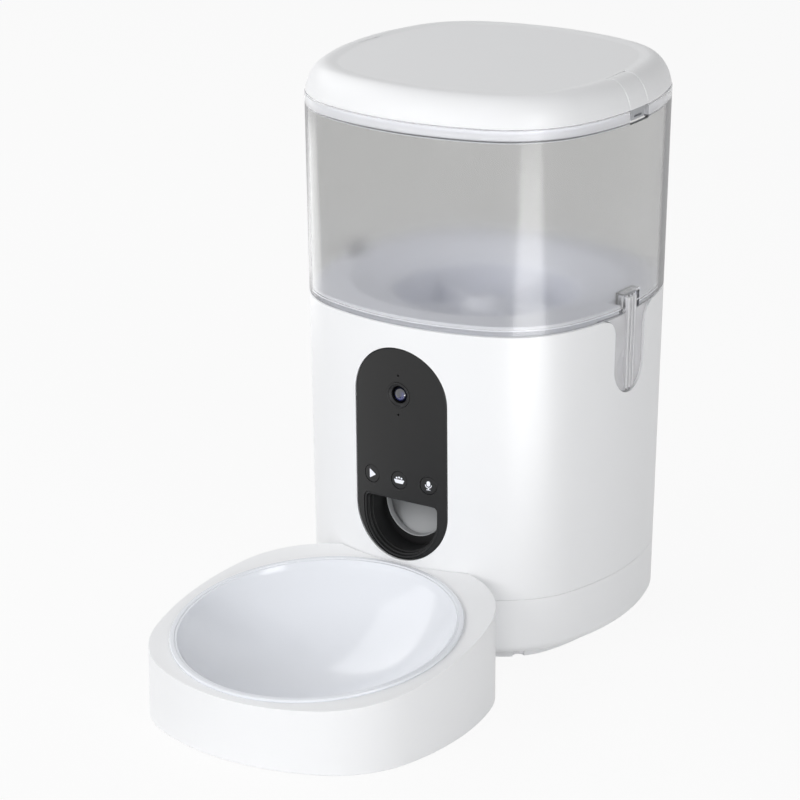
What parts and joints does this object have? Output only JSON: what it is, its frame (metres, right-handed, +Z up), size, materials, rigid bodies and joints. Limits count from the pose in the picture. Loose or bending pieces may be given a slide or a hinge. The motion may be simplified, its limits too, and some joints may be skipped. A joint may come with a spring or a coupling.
{
  "type": "pet_feeder_with_camera",
  "caption": "Automatic pet feeder: white base with camera panel and food mouth, clear lift-off hopper with clip-on lid, and a docking tray with a lift-out bowl",
  "frame": {"origin": "on the floor, under the middle of the whole footprint of body and tray", "axes": "+X to the right when facing the front, +Y from the bowl at the front to the back, +Z up"},
  "size_m": [0.1836, 0.3364, 0.3137],
  "materials": {
    "white_shell": "satin moulded white",
    "white_bowl": "glossy moulded white",
    "white_inner": "fine matt moulded white",
    "clear_hopper": "clear moulded plastic, polished",
    "black_panel": "smooth black, satin",
    "black_inner": "fine matt black",
    "lens_glass": "coated dark blue lens",
    "grey_plastic": "fine matt grey",
    "circuit_board": "green solder mask",
    "steel": "plain bright steel",
    "bronze": "sintered bronze",
    "cell_wrap": "dark cell sleeve",
    "grey_rubber": "matt grey rubber",
    "clear_seal": "soft translucent seal"
  },
  "bodies": {
    "base": {"base_shell": "white_shell", "base_deck": "white_inner", "bottom_cover": "white_shell", "base_screws": "steel", "rubber_feet": "grey_rubber", "front_panel": "black_panel", "chute_collar": "black_inner", "camera_bezel": "black_inner", "camera_lens": "lens_glass", "camera_module": "black_inner", "camera_board": "circuit_board", "camera_ribbon": "grey_plastic", "button_board": "circuit_board", "tact_switches": "steel", "chute": "grey_plastic", "drive_plate": "grey_plastic", "drive_screws": "steel", "gearbox_housing": "grey_plastic", "shaft_bushes": "bronze", "motor": "steel", "main_board": "circuit_board", "board_screws": "steel", "board_ribbon": "grey_plastic", "speaker": "black_inner", "power_inlet": "black_inner", "batteries": "cell_wrap", "battery_contacts": "steel"},
    "battery_door": {"battery_door": "white_shell"},
    "play_button": {"play_button": "black_panel"},
    "feed_button": {"feed_button": "black_panel"},
    "mic_button": {"mic_button": "black_panel"},
    "drive": {"drive_gear": "white_inner", "drive_shaft": "steel"},
    "pinion": {"motor_pinion": "white_inner"},
    "hopper": {"hopper": "clear_hopper", "funnel_deck": "white_inner", "rotor_chamber": "white_inner", "hopper_screws": "steel"},
    "rotor": {"rotor_hub": "white_inner", "rotor_vanes": "white_inner"},
    "hopper_latch_right": {"hopper_latch_right": "clear_hopper"},
    "hopper_latch_left": {"hopper_latch_left": "clear_hopper"},
    "lid": {"lid_shell": "white_shell", "lid_liner": "white_inner", "lid_seal": "clear_seal", "lid_screws": "steel"},
    "lid_latch_right": {"lid_latch_right": "white_shell"},
    "lid_latch_left": {"lid_latch_left": "white_shell"},
    "desiccant_box": {"desiccant_box": "white_inner"},
    "tray": {"tray": "white_shell", "tray_feet": "grey_rubber"},
    "bowl": {"bowl": "white_bowl"}
  },
  "joints": [
    {"name": "battery_door_drop", "type": "slide", "parent": "base", "child": "battery_door", "axis": [0, 0, -1], "range_m": [0, 0.03]},
    {"name": "play_button_press", "type": "slide", "parent": "base", "child": "play_button", "axis": [0, 1, 0], "range_m": [0, 0.0008], "stiffness_N_per_m": 400},
    {"name": "feed_button_press", "type": "slide", "parent": "base", "child": "feed_button", "axis": [0, 1, 0], "range_m": [0, 0.0008], "stiffness_N_per_m": 400},
    {"name": "mic_button_press", "type": "slide", "parent": "base", "child": "mic_button", "axis": [0, 1, 0], "range_m": [0, 0.0008], "stiffness_N_per_m": 400},
    {"name": "drive_spin", "type": "hinge", "parent": "base", "child": "drive", "pos_m": [0, 0.07629, 0.1355], "axis": [0, 0, 1], "continuous": true},
    {"name": "pinion_spin", "type": "hinge", "parent": "base", "child": "pinion", "pos_m": [0, 0.09789, 0.1355], "axis": [0, 0, 1], "continuous": true},
    {"name": "hopper_lift", "type": "slide", "parent": "base", "child": "hopper", "axis": [0, 0, 1], "range_m": [0, 0.12]},
    {"name": "rotor_spin", "type": "hinge", "parent": "hopper", "child": "rotor", "pos_m": [0, 0.07629, 0.1655], "axis": [0, 0, 1], "continuous": true},
    {"name": "hopper_latch_right_rock", "type": "hinge", "parent": "base", "child": "hopper_latch_right", "pos_m": [0.0844, 0.07629, 0.1775], "axis": [0, 1, 0], "range_deg": [0, 5], "stiffness_Nm_per_rad": 0.2},
    {"name": "hopper_latch_left_rock", "type": "hinge", "parent": "base", "child": "hopper_latch_left", "pos_m": [-0.0844, 0.07629, 0.1775], "axis": [0, -1, 0], "range_deg": [0, 5], "stiffness_Nm_per_rad": 0.2},
    {"name": "lid_lift", "type": "slide", "parent": "hopper", "child": "lid", "axis": [0, 0, 1], "range_m": [0, 0.08]},
    {"name": "lid_latch_right_push", "type": "hinge", "parent": "lid", "child": "lid_latch_right", "pos_m": [0.077, 0.07629, 0.3117], "axis": [0, 1, 0], "range_deg": [0, 3], "stiffness_Nm_per_rad": 0.2},
    {"name": "lid_latch_left_push", "type": "hinge", "parent": "lid", "child": "lid_latch_left", "pos_m": [-0.077, 0.07629, 0.3117], "axis": [0, -1, 0], "range_deg": [0, 3], "stiffness_Nm_per_rad": 0.2},
    {"name": "desiccant_twist", "type": "hinge", "parent": "lid", "child": "desiccant_box", "pos_m": [0, 0.07629, 0.298], "axis": [0, 0, 1], "range_deg": [0, 30]},
    {"name": "tray_pull", "type": "slide", "parent": "base", "child": "tray", "axis": [0, -1, 0], "range_m": [0, 0.08]},
    {"name": "bowl_lift", "type": "slide", "parent": "tray", "child": "bowl", "axis": [0, -0.1288, 0.9917], "range_m": [0, 0.06]}
  ],
  "couplings": [
    {"joint": "pinion_spin", "follows": "drive_spin", "ratio": -2},
    {"joint": "rotor_spin", "follows": "drive_spin", "ratio": 1}
  ]
}
